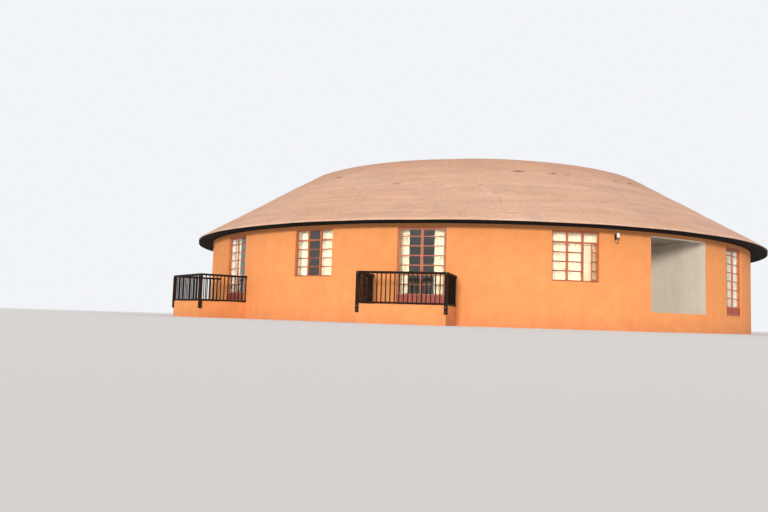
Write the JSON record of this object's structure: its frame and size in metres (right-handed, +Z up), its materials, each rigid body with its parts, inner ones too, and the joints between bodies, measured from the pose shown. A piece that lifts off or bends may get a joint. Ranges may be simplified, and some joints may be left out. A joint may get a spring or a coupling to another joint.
{
  "type": "round guest house with a ring-shaped roof",
  "caption": "Round plastered house on a raised floor with a wide sloping roof, french doors that open, railed balconies, casement windows and a recessed porch.",
  "frame": {"origin": "centre of the round plan at ground level", "axes": "+Z up, -Y towards the pictured front, +X to its right"},
  "size_m": [23.7998, 24.7544, 6.9759],
  "materials": {
    "plaster": "painted rough plaster",
    "white_plaster": "painted smooth plaster",
    "ceiling_board": "painted board",
    "roof_cover": "weathered roofing",
    "eave_board": "dark stained",
    "frame_steel": "gloss enamel, weathered",
    "glass": "clear float glass",
    "track_metal": "white coated",
    "curtain_cloth": "gathered cotton",
    "rail_timber": "creosoted",
    "lamp_metal": "satin",
    "lamp_glass": "opal glass"
  },
  "bodies": {
    "building": {"plinth": "plaster", "front_wall": "plaster", "back_wall": "plaster", "sill_walls": "plaster", "lintels": "plaster", "porch_lintel": "plaster", "ceiling": "ceiling_board", "porch_left_wall": "white_plaster", "porch_right_wall": "white_plaster", "porch_back_wall": "white_plaster", "roof_skirt": "roof_cover", "roof_crown": "roof_cover", "eave_fascia": "eave_board", "eave_soffit": "eave_board", "door_posts": "frame_steel", "door_heads": "frame_steel", "back_doors": "frame_steel", "back_door_glass": "glass", "window_frames": "frame_steel", "window4_frame": "frame_steel", "window_glass": "glass", "open_casement": "frame_steel", "open_casement_glass": "glass", "curtain_tracks": "track_metal", "front_curtains": "curtain_cloth", "back_curtains": "curtain_cloth", "balcony_bases": "plaster", "balcony_front_rails": "rail_timber", "balcony_left_rails": "rail_timber", "balcony_right_rails": "rail_timber", "lamp_bracket": "lamp_metal", "lamp_shade": "lamp_glass"},
    "door1_left": {"door1_left_leaf": "frame_steel", "door1_left_glass": "glass"},
    "door1_right": {"door1_right_leaf": "frame_steel", "door1_right_glass": "glass"},
    "door3_left": {"door3_left_leaf": "frame_steel", "door3_left_glass": "glass"},
    "door3_right": {"door3_right_leaf": "frame_steel", "door3_right_glass": "glass"},
    "door5_left": {"door5_left_leaf": "frame_steel", "door5_left_glass": "glass"},
    "door5_right": {"door5_right_leaf": "frame_steel", "door5_right_glass": "glass"}
  },
  "joints": [
    {"name": "door1_left_hinge", "type": "hinge", "parent": "building", "child": "door1_left", "pos_m": [-9.62115, -5.83758, 1.6], "axis": [0, 0, -1], "range_deg": [0, 90]},
    {"name": "door1_right_hinge", "type": "hinge", "parent": "building", "child": "door1_right", "pos_m": [-8.80069, -7.01368, 1.6], "axis": [0, 0, 1], "range_deg": [0, 90]},
    {"name": "door3_left_hinge", "type": "hinge", "parent": "building", "child": "door3_left", "pos_m": [-3.45008, -10.71171, 1.6], "axis": [0, 0, -1], "range_deg": [0, 90]},
    {"name": "door3_right_hinge", "type": "hinge", "parent": "building", "child": "door3_right", "pos_m": [-2.05989, -11.06348, 1.6], "axis": [0, 0, 1], "range_deg": [0, 90]},
    {"name": "door5_left_hinge", "type": "hinge", "parent": "building", "child": "door5_left", "pos_m": [7.69604, -8.21065, 1.6], "axis": [0, 0, -1], "range_deg": [0, 90]},
    {"name": "door5_right_hinge", "type": "hinge", "parent": "building", "child": "door5_right", "pos_m": [8.67768, -7.16531, 1.6], "axis": [0, 0, 1], "range_deg": [0, 90]}
  ]
}
